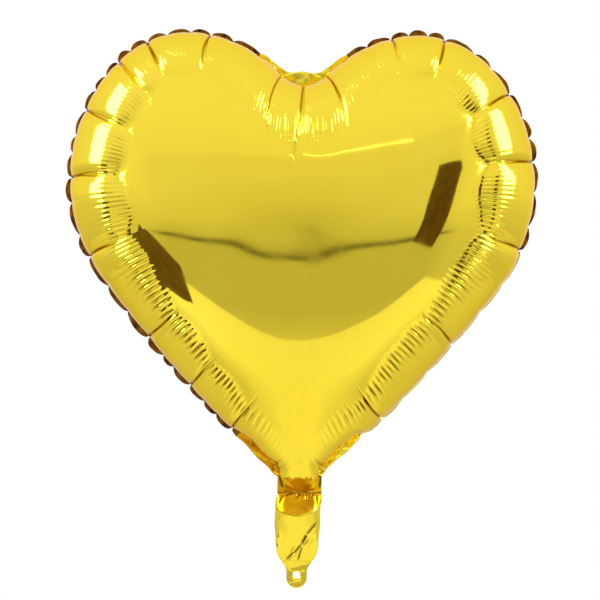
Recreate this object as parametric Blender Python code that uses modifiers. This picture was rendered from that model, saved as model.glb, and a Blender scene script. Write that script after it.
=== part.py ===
"""An inflated heart-shaped foil balloon, hanging tail down.

Metres, +Z up, the front faces -Y. The origin is the centre of the ribbon hole in the tab at the foot of the
tail. Two films of metallised foil, front and back, are heat-sealed round the heart. Below the heart's point
they run on as a tail, which is a little swollen at its top, and a small flat tab. Inside, two clear films
make the valve that lets gas in and closes by itself.
"""

import math

import bmesh
import bpy
import numpy as np

# Films. The solids are thicker than real film, which is about 0.04 mm.
FILM = 0.0006
VALVE_FILM = 0.0005
GAP = 0.0003
SEAM = 0.0045

# The heart's inflated outline, one half: arcs that run on from each other, from the neck up to the notch.
NECK_Z = 0.0808
NECK_HALF_WIDTH = 0.019
NECK_CORNER_R = 0.010
FLANK_R = 1.24
SIDE_R = 0.1345
SHOULDER_R = 0.080
NOTCH_R = 0.025
FLANK_START = math.radians(42.8)
FLANK_END = math.radians(52.3)
SIDE_END = math.radians(133.3)
SHOULDER_END = math.radians(191.9)
INNER_END = math.radians(226.0)

# The puffed form: half its thickness at the middle, and how finely it is modelled.
HALF_THICKNESS = 0.086
COLUMNS = 84
RINGS = 9
CAP_RADIUS = 0.2
SOURCES = 360
SOURCE_OFFSET = 0.0055

# Tail and tab. The tail is a shallow pouch: its swell is how far each film stands out, by the way down from
# the top.
TAIL_HALF_WIDTH = 0.0180
TAIL_SHOULDER_Z = 0.030
TAIL_WAY_DOWN = (0.0, 0.006, 0.014, 0.024, 0.038, 0.052, 0.062)
TAIL_SWELL = (0.0, 0.0020, 0.0055, 0.0080, 0.0060, 0.0022, 0.0)
TAIL_ROWS = 18
TAIL_COLUMNS = 12
TAB_HALF_WIDTH = 0.0082
TAB_ROUND_Z = -0.0022
HOLE_R = 0.003
ARC_STEPS = 16

# Joint axes, all along X. At a fold, this much film is left out on each side of the axis, so that it turns.
FOLD_CLEARANCE = 0.00095
TAIL_HINGE_Z = NECK_Z - SEAM - FOLD_CLEARANCE
TAB_HINGE_Z = 0.0085
VALVE_ROOT_Z = NECK_Z + 0.004

# Valve films, inside the neck
VALVE_LENGTH = 0.075
VALVE_ROOT_HALF_WIDTH = 0.013
VALVE_TOP_HALF_WIDTH = 0.010

GOLD = (0.93, 0.74, 0.14, 1.0)
GOLD_BACK = (0.91, 0.72, 0.15, 1.0)
CLEAR_FILM = (0.86, 0.88, 0.88, 1.0)


# ---------------------------------------------------------------- outline


def arc_points(start, radius, heading_from, heading_to, steps):
    """Points along an arc from one heading to another; a negative radius turns right."""
    headings = np.linspace(heading_from, heading_to, steps + 1)[1:]
    x = start[0] + radius * (np.sin(headings) - math.sin(heading_from))
    z = start[1] + radius * (math.cos(heading_from) - np.cos(headings))
    return np.column_stack([x, z])


def half_outline():
    """The right half of the rim, from the middle of the neck to the middle of the notch."""
    corner_x = NECK_HALF_WIDTH - NECK_CORNER_R * math.sin(FLANK_START)
    path = np.array([[0.0, NECK_Z], [corner_x, NECK_Z]])
    arcs = [
        (NECK_CORNER_R, 0.0, FLANK_START),
        (FLANK_R, FLANK_START, FLANK_END),
        (SIDE_R, FLANK_END, SIDE_END),
        (SHOULDER_R, SIDE_END, SHOULDER_END),
    ]
    for radius, heading_from, heading_to in arcs:
        path = np.vstack([path, arc_points(path[-1], radius, heading_from, heading_to, 60)])
    # The inner arc's radius is what brings the notch onto the middle line.
    notch_reach = NOTCH_R * math.sin(INNER_END)
    inner_r = (path[-1, 0] + notch_reach) / (math.sin(SHOULDER_END) - math.sin(INNER_END))
    path = np.vstack([path, arc_points(path[-1], inner_r, SHOULDER_END, INNER_END, 60)])
    path = np.vstack([path, arc_points(path[-1], -NOTCH_R, INNER_END, math.pi, 30)])
    path[-1, 0] = 0.0
    return path


def even_points(path, count):
    """count points evenly spaced along a closed path, with their outward normals."""
    closed = np.vstack([path, path[:1]])
    length = np.r_[0, np.cumsum(np.linalg.norm(np.diff(closed, axis=0), axis=1))]
    at = np.linspace(0, length[-1], count, endpoint=False)
    points = np.column_stack([np.interp(at, length, closed[:, i]) for i in (0, 1)])
    along = np.roll(points, -1, axis=0) - np.roll(points, 1, axis=0)
    along /= np.linalg.norm(along, axis=1)[:, None]
    return points, np.column_stack([along[:, 1], -along[:, 0]])


def rim(count):
    """The rim's points and outward normals, anticlockwise from the middle of the neck."""
    right = half_outline()
    left = right[-2:0:-1] * [-1, 1]
    return even_points(np.vstack([right, left]), count)


# ---------------------------------------------------------------- puffed form


class Puff:
    """How far in from the rim a point is, as 0 at the rim and 1 at the fullest point of the heart.

    It is the shape a soap film takes over the outline under a little pressure, made from sources outside the
    rim.
    """

    def __init__(self):
        points, _ = rim(2 * SOURCES)
        sources, normals = rim(SOURCES)
        self.sources = sources + SOURCE_OFFSET * normals
        table = np.column_stack([self.logs(points), np.ones(len(points))])
        weights = np.linalg.lstsq(table, (points**2).sum(axis=1) / 4, rcond=1e-10)[0]
        self.weights = weights[:-1]
        self.constant = weights[-1]
        self.scale = 1.0
        self.top = self.find_top()
        self.scale = 1 / self.raw(self.top[None])[0]

    def logs(self, points):
        away = points[:, None] - self.sources
        return 0.5 * np.log((away**2).sum(axis=2))

    def raw(self, points):
        bend = (points**2).sum(axis=1) / 4
        return self.logs(points) @ self.weights + self.constant - bend

    def depth(self, points):
        return self.scale * self.raw(points)

    def slope(self, points):
        away = points[:, None] - self.sources
        pull = self.weights / (away**2).sum(axis=2)
        return self.scale * ((away * pull[..., None]).sum(axis=1) - points / 2)

    def find_top(self):
        """The fullest point, on the middle line."""
        lowest, highest = half_outline()[0, 1], half_outline()[-1, 1]
        z = np.linspace(lowest, highest, 2001)[1:-1]
        line = np.column_stack([np.zeros_like(z), z])
        return line[self.raw(line).argmax()]

    def inward(self, points, depths, steps=6):
        """Carries rim points up the slope, square to the rim, and gives their places at each depth."""
        places = []
        now = points.copy()
        at = 0.0
        for depth in depths:
            for _ in range(steps):
                step = (depth - at) / steps
                middle = now + 0.5 * step * self.climb(now)
                now = now + step * self.climb(middle)
                at += step
            slope = self.slope(now)
            now = now + slope * ((depth - self.depth(now)) / (slope**2).sum(axis=1))[:, None]
            at = depth
            places.append(now)
        return places

    def climb(self, points):
        slope = self.slope(points)
        return slope / (slope**2).sum(axis=1)[:, None]


def balloon_profile(depth):
    """Height of a round foil balloon over its seam, as a share of its highest, by depth in from its rim."""
    radius = np.sqrt(np.clip(1 - np.asarray(depth), 0, 1))
    turn = np.linspace(0, math.pi / 2, 2001)
    run = 1 / np.sqrt(1 + np.cos(turn) ** 2)
    # With r = cos(turn), the mylar balloon's height from the rim is the integral of r**2 / sqrt(1 + r**2).
    height = np.r_[0, np.cumsum((run * np.cos(turn) ** 2)[1:] + (run * np.cos(turn) ** 2)[:-1])]
    return np.interp(np.arccos(radius), turn, height / height[-1])


def panel_rings(puff):
    """(x, z, height) of each ring of the dome, from just inside the rim to the cap's edge and in it."""
    share = np.arange(1, RINGS + 1) / RINGS
    reach = 1 - (1 - CAP_RADIUS) * share**2
    rim_points, _ = rim(COLUMNS)
    places = puff.inward(rim_points, 1 - reach**2)
    places.append(puff.top + 0.5 * (places[-1] - puff.top))
    rings = []
    for place in places:
        rings.append(np.column_stack([place, HALF_THICKNESS * balloon_profile(puff.depth(place))]))
    return rings


def make_panel(name, side, puff, material, collection):
    """One foil panel: its flat seam edge and its dome. side is -1 for the front and 1 for the back."""
    rim_points, normals = rim(COLUMNS)
    flat = np.zeros((COLUMNS, 1))
    rings = [np.hstack([rim_points + SEAM * normals, flat]), np.hstack([rim_points, flat])]
    rings += panel_rings(puff)
    mesh = bmesh.new()
    rows = []
    for ring in rings:
        rows.append([mesh.verts.new((x, side * (GAP / 2 + height), z)) for x, z, height in ring])
    top = mesh.verts.new((puff.top[0], side * (GAP / 2 + HALF_THICKNESS), puff.top[1]))
    for outer, inner in zip(rows, rows[1:]):
        for i in range(COLUMNS):
            after = (i + 1) % COLUMNS
            mesh.faces.new((outer[i], outer[after], inner[after], inner[i]))
    for i in range(COLUMNS):
        mesh.faces.new((rows[-1][i], rows[-1][(i + 1) % COLUMNS], top))
    if side > 0:
        bmesh.ops.reverse_faces(mesh, faces=mesh.faces)
    panel = mesh_object(name, mesh, material, collection)
    thicken(panel)
    return panel


def thicken(shell):
    """Gives an open surface the film's thickness, outwards."""
    thickness = shell.modifiers.new("film", "SOLIDIFY")
    thickness.thickness = FILM
    thickness.offset = 1.0
    thickness.use_even_offset = True


# ---------------------------------------------------------------- tail, tab and valve


def tail_half_width(z):
    """Half the tail's width at a height: straight sides, then shoulders that round in to the tab."""
    foot = TAB_HINGE_Z + FOLD_CLEARANCE
    drop = np.clip((TAIL_SHOULDER_Z - z) / (TAIL_SHOULDER_Z - foot), 0, 1)
    return TAB_HALF_WIDTH + (TAIL_HALF_WIDTH - TAB_HALF_WIDTH) * math.sqrt(1 - drop**2)


def tail_swell(z):
    """How far each film of the tail stands out on its middle line, at a height."""
    return np.interp(TAIL_HINGE_Z - FOLD_CLEARANCE - z, TAIL_WAY_DOWN, TAIL_SWELL)


def make_tail_layer(name, side, hinge, material, collection):
    """One film of the tail: a shallow pouch wall between its welded side edges."""
    top = TAIL_HINGE_Z - FOLD_CLEARANCE
    foot = TAB_HINGE_Z + FOLD_CLEARANCE
    # Rows are closest together at the foot, where the shoulders turn.
    heights = foot + (top - foot) * np.linspace(1, 0, TAIL_ROWS + 1) ** 1.5
    across = np.sin(np.linspace(-math.pi / 2, math.pi / 2, TAIL_COLUMNS + 1))
    mesh = bmesh.new()
    rows = []
    for z in heights:
        bulge = tail_swell(z) * np.sqrt(np.clip(1 - across**2, 0, 1))
        y = side * (GAP / 2 + bulge)
        x = tail_half_width(z) * across
        rows.append([mesh.verts.new((x[i], y[i], z - TAIL_HINGE_Z)) for i in range(len(across))])
    for upper, lower in zip(rows, rows[1:]):
        for i in range(TAIL_COLUMNS):
            mesh.faces.new((lower[i], lower[i + 1], upper[i + 1], upper[i]))
    if side > 0:
        bmesh.ops.reverse_faces(mesh, faces=mesh.faces)
    layer = mesh_object(name, mesh, material, collection)
    layer.parent = hinge
    thicken(layer)
    return layer


def tab_outline():
    """The tab below its hinge, about that hinge: short straight sides and a round end."""
    top = -FOLD_CLEARANCE
    turn = np.linspace(0, math.pi / 2, ARC_STEPS)[:-1]
    x = TAB_HALF_WIDTH * np.cos(turn)
    z = TAB_ROUND_Z - TAB_HINGE_Z - TAB_HALF_WIDTH * np.sin(turn)
    foot = (0.0, TAB_ROUND_Z - TAB_HINGE_Z - TAB_HALF_WIDTH)
    return mirrored([(TAB_HALF_WIDTH, top)] + list(zip(x, z)) + [foot])


def hole_outline():
    turn = np.linspace(0, 2 * math.pi, 2 * ARC_STEPS, endpoint=False)
    return [(HOLE_R * math.cos(t), HOLE_R * math.sin(t) - TAB_HINGE_Z) for t in turn]


def valve_outline():
    """A valve film above its root, with rounded upper corners."""
    corner = 0.004
    turn = np.linspace(0, math.pi / 2, ARC_STEPS)
    x = VALVE_TOP_HALF_WIDTH - corner + corner * np.cos(turn)
    z = VALVE_LENGTH - corner + corner * np.sin(turn)
    return mirrored([(VALVE_ROOT_HALF_WIDTH, 0.0)] + list(zip(x, z)))


def mirrored(right):
    """A closed outline from the points of its right half; a point on the middle line isn't doubled."""
    left = [(-x, z) for x, z in reversed(right) if x > 1e-9]
    return [(x, z) for x, z in right] + left


def flat_film(name, outlines, y_middle, thickness, hinge, material, collection):
    """A flat piece of film square to Y, its outlines in X and Z about the hinge that it hangs from."""
    curve = bpy.data.curves.new(name, "CURVE")
    curve.dimensions = "2D"
    curve.fill_mode = "BOTH"
    curve.extrude = thickness / 2
    for outline in outlines:
        spline = curve.splines.new("POLY")
        spline.points.add(len(outline) - 1)
        for point, (x, z) in zip(spline.points, outline):
            point.co = (x, z, 0.0, 1.0)
        spline.use_cyclic_u = True
    curve.materials.append(material)
    film = bpy.data.objects.new(name, curve)
    film.rotation_euler = (math.pi / 2, 0.0, 0.0)
    film.location = (0.0, y_middle, 0.0)
    film.parent = hinge
    collection.objects.link(film)
    return film


# ---------------------------------------------------------------- scene


def mesh_object(name, bm, material, collection):
    mesh = bpy.data.meshes.new(name)
    bm.to_mesh(mesh)
    bm.free()
    mesh.materials.append(material)
    mesh.shade_smooth()
    made = bpy.data.objects.new(name, mesh)
    collection.objects.link(made)
    return made


def make_material(name, colour, roughness, metallic):
    material = bpy.data.materials.new(name)
    material.use_nodes = True
    shader = material.node_tree.nodes["Principled BSDF"]
    shader.inputs["Base Color"].default_value = colour
    shader.inputs["Roughness"].default_value = roughness
    shader.inputs["Metallic"].default_value = metallic
    return material


def make_hinge(name, z, collection, parent=None, parent_z=0.0):
    """An empty on a joint's axis."""
    hinge = bpy.data.objects.new(name, None)
    hinge.empty_display_size = 0.02
    hinge.location = (0.0, 0.0, z - parent_z)
    hinge.parent = parent
    collection.objects.link(hinge)
    return hinge


def clear_scene():
    for thing in list(bpy.data.objects):
        bpy.data.objects.remove(thing)


def main():
    clear_scene()
    collection = bpy.data.collections.new("heart_foil_balloon")
    bpy.context.scene.collection.children.link(collection)
    gold = make_material("gold_foil", GOLD, 0.12, 1.0)
    gold_back = make_material("gold_foil_back", GOLD_BACK, 0.12, 1.0)
    clear = make_material("clear_film", CLEAR_FILM, 0.25, 0.0)

    puff = Puff()
    make_panel("front_panel", -1, puff, gold, collection)
    make_panel("back_panel", 1, puff, gold_back, collection)

    tail_hinge = make_hinge("tail_hinge", TAIL_HINGE_Z, collection)
    tab_hinge = make_hinge("tab_hinge", TAB_HINGE_Z, collection, tail_hinge, TAIL_HINGE_Z)
    layer_y = (GAP + FILM) / 2
    for word, side, material in (("front", -1, gold), ("back", 1, gold_back)):
        make_tail_layer(f"tail_{word}_layer", side, tail_hinge, material, collection)
        flat_film(
            f"tab_{word}_layer",
            [tab_outline(), hole_outline()],
            side * layer_y,
            FILM,
            tab_hinge,
            material,
            collection,
        )
        valve_hinge = make_hinge(f"valve_{word}_hinge", VALVE_ROOT_Z, collection)
        valve_y = side * (GAP + VALVE_FILM) / 2
        film = f"valve_film_{word}"
        flat_film(film, [valve_outline()], valve_y, VALVE_FILM, valve_hinge, clear, collection)


main()
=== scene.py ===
"""The looks of the gold heart foil balloon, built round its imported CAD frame.

Metres, +Z up, the front faces -Y, and the origin is the ribbon hole's centre. The heart's panels are rings
of points carried in from the seam, so pleats and creases run square to the seam as they do on a real one.
"""

import math

import bpy
import numpy as np
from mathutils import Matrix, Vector


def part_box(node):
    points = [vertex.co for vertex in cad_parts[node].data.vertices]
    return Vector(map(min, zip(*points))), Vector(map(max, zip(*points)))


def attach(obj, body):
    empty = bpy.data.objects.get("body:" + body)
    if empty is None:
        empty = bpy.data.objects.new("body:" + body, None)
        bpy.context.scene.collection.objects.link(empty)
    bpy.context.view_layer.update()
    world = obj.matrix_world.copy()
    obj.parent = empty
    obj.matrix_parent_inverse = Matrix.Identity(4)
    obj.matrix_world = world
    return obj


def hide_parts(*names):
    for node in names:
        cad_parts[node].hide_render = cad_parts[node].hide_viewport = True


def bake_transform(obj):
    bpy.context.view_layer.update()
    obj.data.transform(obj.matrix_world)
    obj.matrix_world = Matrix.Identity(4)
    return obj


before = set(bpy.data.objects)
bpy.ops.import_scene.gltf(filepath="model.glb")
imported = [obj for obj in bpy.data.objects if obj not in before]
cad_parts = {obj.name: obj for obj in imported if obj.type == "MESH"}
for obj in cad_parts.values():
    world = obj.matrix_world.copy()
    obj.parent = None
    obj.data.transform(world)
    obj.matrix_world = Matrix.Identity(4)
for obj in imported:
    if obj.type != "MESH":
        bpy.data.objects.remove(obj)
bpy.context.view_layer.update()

# ---------------------------------------------------------------- sizes

# The seam's thickness, half the gap between the panels, and that gap with a CAD panel's thickness
FILM = 0.0004
HALF_GAP = 0.00015
CAD_SKIN = 0.00075
PANEL_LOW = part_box("front_panel")[0]
TAB_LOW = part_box("tab_front_layer")[0]
HALF_THICKNESS = -PANEL_LOW.y - CAD_SKIN
SEAM = 0.0045
TIP_INSET = 0.0045
NECK_Z = PANEL_LOW.z + SEAM
NECK_HALF_WIDTH = 0.019

# The heart's inflated outline, one half: arcs that run on from each other, from the neck up to the notch.
NECK_CORNER_R = 0.010
FLANK_R = 1.24
SIDE_R = 0.1345
SHOULDER_R = 0.080
NOTCH_R = 0.025
FLANK_START = math.radians(42.8)
FLANK_END = math.radians(52.3)
SIDE_END = math.radians(133.3)
SHOULDER_END = math.radians(191.9)
INNER_END = math.radians(226.0)

# How finely the panels are modelled
COLUMNS = 2000
BORDER_RINGS = 42
MIDDLE_RINGS = 20
BORDER_DEPTH = 0.72
CAP_RADIUS = 0.12
SOURCES = 360
SOURCE_OFFSET = 0.0055

# Creases: places along each half of the seam, as shares of the way from the neck to the notch
RIGHT_CREASES = (0.145, 0.286, 0.444, 0.569, 0.669, 0.786, 0.862, 0.968)
LEFT_CREASES = (0.117, 0.201, 0.287, 0.425, 0.539, 0.633, 0.713, 0.763, 0.851, 0.968)
SHORT_CREASES = (0.862, 0.713)
CREASE_LENGTH = 0.034
NOTCH_CREASE_LENGTH = 0.052
MIDDLE_CREASE_LENGTH = 0.068
CREASE_DEPTH = 0.0019
CREASE_HALF_WIDTH = 0.0007
CREASE_WANDER = 0.0009
NOTCH_CREASE_HALF_WIDTH = 0.0005
NOTCH_CREASE_WANDER = 0.0002

# The border's cushions, pleats and the soft waves of the middle
TUBE_HEIGHT = 0.150
KINK = 0.97
PLEATS = 250
NOTCH_PLEATS = 12
PLEAT_DEPTH = 0.0012
SMALL_CUSHION = 0.0011
GATHER_DEPTH = 0.0007
GATHER_PITCH = 0.0036
FLANK_BULGE = 0.0024
RIPPLE_HEIGHT = 0.00003

# The tail: how far each film stands out on the middle line, and half the width, by height
TAB_SWELL_Z = (-0.0104, 0.002, 0.008)
TAB_SWELL = (0.0, 0.0002, 0.0006)
TAIL_SWELL_Z = (0.0118, 0.016, 0.022, 0.030, 0.040, 0.0485, 0.0665)
TAIL_SWELL = (0.0011, 0.0018, 0.0032, 0.0056, 0.0086, 0.0110, 0.0008)
NECK_SWELL_Z = (0.0705, 0.0785, 0.086, 0.096)
NECK_SWELL = (0.0042, 0.0122, 0.0198, 0.0286)
SWELL_Z = TAB_SWELL_Z + TAIL_SWELL_Z + NECK_SWELL_Z
SWELL = TAB_SWELL + TAIL_SWELL + NECK_SWELL
CREST_BEND = 0.009
CREASE_Z = 0.0665
WIDTH_Z = (0.0118, 0.0145, 0.0185, 0.0225, 0.030, 0.045, 0.060, 0.0665, 0.0755, 0.0865, 0.096)
WIDTH = (0.0128, 0.0146, 0.0160, 0.0168, 0.0176, 0.0183, 0.0183, 0.0176, 0.0180, 0.0175, 0.0165)
NECK_SHIFT = 0.0013
TAIL_FOOT = 0.0118
TAIL_TOP = 0.096
FOOT_BLEND = 0.0012
FOOT_SINK = 0.0004
TOP_SINK = 0.0022
# Where the tail gets the amber painted reflection of the heart's gold tip
AMBER_REFLECTION_FOOT = 0.0485
AMBER_REFLECTION_TOP = 0.0792
INNER_FACE = 0.00002
TAIL_ROWS = 200
TAIL_COLUMNS = 96
# Wrinkles of the tail: x and z of each end, depth and half width
WRINKLES = (
    ((0.0165, 0.0445), (0.0066, 0.0322), 0.0012, 0.0009),
    ((0.0078, 0.0340), (0.0034, 0.0245), 0.0022, 0.0014),
    ((0.0040, 0.0262), (-0.0044, 0.0150), 0.0018, 0.0012),
    ((0.0046, 0.0242), (0.0006, 0.0122), 0.0012, 0.0010),
    ((-0.0026, 0.0190), (-0.0088, 0.0122), 0.0016, 0.0012),
    ((0.0100, 0.0300), (0.0052, 0.0245), 0.0009, 0.0009),
    ((-0.0052, 0.0180), (-0.0020, 0.0240), 0.0009, 0.0009),
    ((0.0020, 0.0290), (0.0062, 0.0300), 0.0007, 0.0008),
    ((-0.0110, 0.0305), (-0.0025, 0.0318), -0.0003, 0.0008),
    ((-0.0110, 0.0640), (-0.0045, 0.0668), 0.0012, 0.0010),
    ((-0.0025, 0.0620), (0.0010, 0.0668), 0.0014, 0.0012),
    ((0.0065, 0.0605), (0.0045, 0.0668), 0.0016, 0.0010),
    ((0.0095, 0.0632), (0.0120, 0.0668), 0.0010, 0.0009),
    ((-0.0160, 0.0560), (-0.0120, 0.0650), 0.0012, 0.0016),
    ((0.0165, 0.0540), (0.0130, 0.0655), 0.0010, 0.0015),
    ((-0.0095, 0.0735), (-0.0040, 0.0690), -0.0012, 0.0009),
    ((0.0155, 0.0745), (0.0095, 0.0690), -0.0012, 0.0009),
    ((-0.0168, 0.0820), (-0.0132, 0.0690), 0.0018, 0.0018),
    ((0.0172, 0.0820), (0.0160, 0.0690), 0.0018, 0.0016),
    ((-0.0110, 0.0800), (-0.0085, 0.0745), 0.0009, 0.0010),
    ((0.0100, 0.0805), (0.0075, 0.0750), 0.0009, 0.0010),
)
TAB_HALF_WIDTH = -TAB_LOW.x
TAB_ROUND_Z = TAB_LOW.z + TAB_HALF_WIDTH
HOLE_R = 0.003
TAB_POINTS = 240
TAB_RINGS = 14


# ---------------------------------------------------------------- outline


def smooth(t):
    t = np.clip(t, 0, 1)
    return t * t * (3 - 2 * t)


def arc_points(start, radius, heading_from, heading_to, steps):
    """Points along an arc from start, between two headings; a negative radius turns right."""
    headings = np.linspace(heading_from, heading_to, steps + 1)[1:]
    x = start[0] + radius * (np.sin(headings) - math.sin(heading_from))
    z = start[1] + radius * (math.cos(heading_from) - np.cos(headings))
    return np.column_stack([x, z])


def half_outline():
    """The right half of the rim, from the middle of the neck to the middle of the notch."""
    corner_x = NECK_HALF_WIDTH - NECK_CORNER_R * math.sin(FLANK_START)
    path = np.array([[0.0, NECK_Z], [corner_x, NECK_Z]])
    arcs = [
        (NECK_CORNER_R, 0.0, FLANK_START),
        (FLANK_R, FLANK_START, FLANK_END),
        (SIDE_R, FLANK_END, SIDE_END),
        (SHOULDER_R, SIDE_END, SHOULDER_END),
    ]
    for radius, heading_from, heading_to in arcs:
        path = np.vstack([path, arc_points(path[-1], radius, heading_from, heading_to, 60)])
    # The inner arc's radius is what brings the notch onto the middle line.
    notch_reach = NOTCH_R * math.sin(INNER_END)
    inner_r = (path[-1, 0] + notch_reach) / (math.sin(SHOULDER_END) - math.sin(INNER_END))
    path = np.vstack([path, arc_points(path[-1], inner_r, SHOULDER_END, INNER_END, 60)])
    path = np.vstack([path, arc_points(path[-1], -NOTCH_R, INNER_END, math.pi, 30)])
    path[-1, 0] = 0.0
    return path


def lengths_along(points):
    return np.r_[0, np.cumsum(np.linalg.norm(np.diff(points, axis=0), axis=1))]


def rim_inset(share):
    """How far the puffed outline stays inside the CAD one beside the neck, where loose foil is."""
    half = 2 * np.minimum(share, 1 - share)
    return TIP_INSET * smooth((0.125 - half) / 0.03) * smooth((half - 0.015) / 0.03)


def rim_at(share):
    """The rim's points and outward normals at shares of its length, and that length.

    The shares run anticlockwise from the middle of the neck.
    """
    right = half_outline()
    left = right[-2:0:-1] * [-1, 1]
    closed = np.vstack([right, left, right[:1]])
    length = lengths_along(closed)
    fine = np.linspace(0, 1, 8001)
    path = np.column_stack([np.interp(fine * length[-1], length, closed[:, i]) for i in (0, 1)])
    along = np.gradient(path, axis=0)
    along[0] = along[-1] = path[1] - path[-2]
    along /= np.linalg.norm(along, axis=1)[:, None]
    share = np.mod(share, 1.0)
    points = np.column_stack([np.interp(share, fine, path[:, i]) for i in (0, 1)])
    outward = np.column_stack([np.interp(share, fine, along[:, 1]), -np.interp(share, fine, along[:, 0])])
    outward /= np.linalg.norm(outward, axis=1)[:, None]
    return points - outward * rim_inset(share)[:, None], outward, length[-1]


# ---------------------------------------------------------------- puffed form


class Puff:
    """How far in from the rim a point is, as 0 at the rim and 1 at the fullest point of the heart.

    It is the shape a soap film takes over the outline under a little pressure, made from sources outside
    the rim.
    """

    def __init__(self):
        points, _, _ = rim_at(np.arange(2 * SOURCES) / (2 * SOURCES))
        sources, normals, _ = rim_at(np.arange(SOURCES) / SOURCES)
        self.sources = sources + SOURCE_OFFSET * normals
        table = np.column_stack([self.logs(points), np.ones(len(points))])
        weights = np.linalg.lstsq(table, (points**2).sum(axis=1) / 4, rcond=1e-10)[0]
        self.weights = weights[:-1]
        self.constant = weights[-1]
        self.scale = 1.0
        self.top = self.find_top()
        self.scale = 1 / self.raw(self.top[None])[0]

    def logs(self, points):
        away = points[:, None] - self.sources
        return 0.5 * np.log((away**2).sum(axis=2))

    def raw(self, points):
        bend = (points**2).sum(axis=1) / 4
        return self.logs(points) @ self.weights + self.constant - bend

    def depth(self, points):
        return self.scale * self.raw(points)

    def slope(self, points):
        away = points[:, None] - self.sources
        pull = self.weights / (away**2).sum(axis=2)
        return self.scale * ((away * pull[..., None]).sum(axis=1) - points / 2)

    def find_top(self):
        """The fullest point, on the middle line."""
        half = half_outline()
        z = np.linspace(half[0, 1], half[-1, 1], 2001)[1:-1]
        line = np.column_stack([np.zeros_like(z), z])
        return line[self.raw(line).argmax()]

    def climb(self, points):
        slope = self.slope(points)
        return slope / (slope**2).sum(axis=1)[:, None]

    def inward(self, points, depths, steps=3):
        """Carries rim points up the slope: their places, and the way gone, at each depth."""
        places, ways = [], []
        now = points.copy()
        way = np.zeros(len(points))
        at = 0.0
        for depth in depths:
            before = now
            for _ in range(steps):
                step = (depth - at) / steps
                middle = now + 0.5 * step * self.climb(now)
                now = now + step * self.climb(middle)
                at += step
            slope = self.slope(now)
            now = now + slope * ((depth - self.depth(now)) / (slope**2).sum(axis=1))[:, None]
            at = depth
            way = way + np.linalg.norm(now - before, axis=1)
            places.append(now)
            ways.append(way)
        return places, ways


# A round foil balloon's thickness as a share of its width
BALLOON_ASPECT = 0.599


def balloon_profile(depth):
    """A round foil balloon's height as a share of its highest, and its slope, both against depth."""
    radius = np.sqrt(np.clip(1 - depth, 0, 1))
    turn = np.linspace(0, math.pi / 2, 2001)
    rise = np.cos(turn) ** 2 / np.sqrt(1 + np.cos(turn) ** 2)
    height = np.r_[0, np.cumsum(rise[1:] + rise[:-1])]
    share = np.interp(np.arccos(radius), turn, height / height[-1])
    slope = radius / (2 * BALLOON_ASPECT * np.sqrt(np.clip(1 - radius**4, 1e-9, None)))
    return share, slope


# ---------------------------------------------------------------- helpers


def wave_noise(x, seed, octaves=4, spread=2.0):
    """Smooth noise along a closed line, x from 0 to 1, between about -1 and 1."""
    dice = np.random.default_rng(seed)
    total = np.zeros_like(x)
    size = 0.0
    for octave in range(octaves):
        for _ in range(3):
            turns = dice.integers(1, 4) * int(round(spread * 2**octave))
            total += np.sin(2 * math.pi * (turns * x + dice.random())) / 2**octave
        size += 2 / 2**octave
    return total / size


def mesh_object(name, points, faces, material):
    mesh = bpy.data.meshes.new(name)
    mesh.from_pydata(points, [], faces)
    mesh.update()
    mesh.materials.append(material)
    mesh.shade_smooth()
    made = bpy.data.objects.new(name, mesh)
    bpy.context.scene.collection.objects.link(made)
    return made


def store_painted_fold_shade(made, fold_shades):
    """Stores the painted shade of the folds at each point, for the foil's shader; points past the list get
    none.
    """
    values = np.zeros(len(made.data.vertices))
    values[: len(fold_shades)] = fold_shades
    layer = made.data.attributes.new("fold", "FLOAT", "POINT")
    layer.data.foreach_set("value", values)


def strip_faces(first, second, count):
    """Faces between two closed rows of points; second may have as many as first, or half as many."""
    faces = []
    half = count[0] == 2 * count[1]
    for i in range(count[1]):
        after = (i + 1) % count[1]
        if half:
            a, b, c = first + 2 * i, first + 2 * i + 1, first + (2 * i + 2) % count[0]
            faces.append((a, b, second + i))
            faces.append((b, c, second + after, second + i))
        else:
            faces.append((first + i, first + after, second + after, second + i))
    return faces


# ---------------------------------------------------------------- the seam's layout


def loop_places(right, left):
    """Places on the whole loop, 0 to 1, of places on each half."""
    return sorted([s / 2 for s in right] + [1 - s / 2 for s in left])


DEEP = np.array(sorted(loop_places(RIGHT_CREASES, LEFT_CREASES) + [0.5]))


def crease_lengths():
    lengths = []
    for place in DEEP:
        half = 2 * min(place, 1 - place)
        if any(abs(half - short) < 1e-6 for short in SHORT_CREASES):
            lengths.append(0.4 * CREASE_LENGTH)
        elif half > 0.99:
            lengths.append(MIDDLE_CREASE_LENGTH)
        elif half > 0.95:
            lengths.append(NOTCH_CREASE_LENGTH)
        else:
            lengths.append(CREASE_LENGTH)
    return np.array(lengths)


CREASE_LENGTHS = crease_lengths()


def pinch_places():
    """Where the seam's scallops meet: the deep creases, and one or two places between them."""
    dice = np.random.default_rng(3)
    places = []
    ends = np.r_[DEEP, DEEP[0] + 1]
    for start, end in zip(ends, ends[1:]):
        places.append(start)
        between = 1 if end - start < 0.035 else 2
        if end - start < 0.022:
            between = 0
        if start < 1.0 < end:
            between = 6
        for i in range(between):
            wander = dice.uniform(-0.18, 0.18)
            places.append(start + (end - start) * (i + 1 + wander) / (between + 1))
    return np.sort(np.mod(places, 1.0))


PINCHES = pinch_places()


def within(place, marks):
    """For each place on the loop: which stretch between marks it is in, and how far along it, 0 to 1."""
    ends = np.r_[marks[-1] - 1, marks, marks[0] + 1]
    which = np.searchsorted(ends, place, side="right") - 1
    which = np.clip(which, 0, len(ends) - 2)
    along = (place - ends[which]) / (ends[which + 1] - ends[which])
    return which, along


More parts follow.
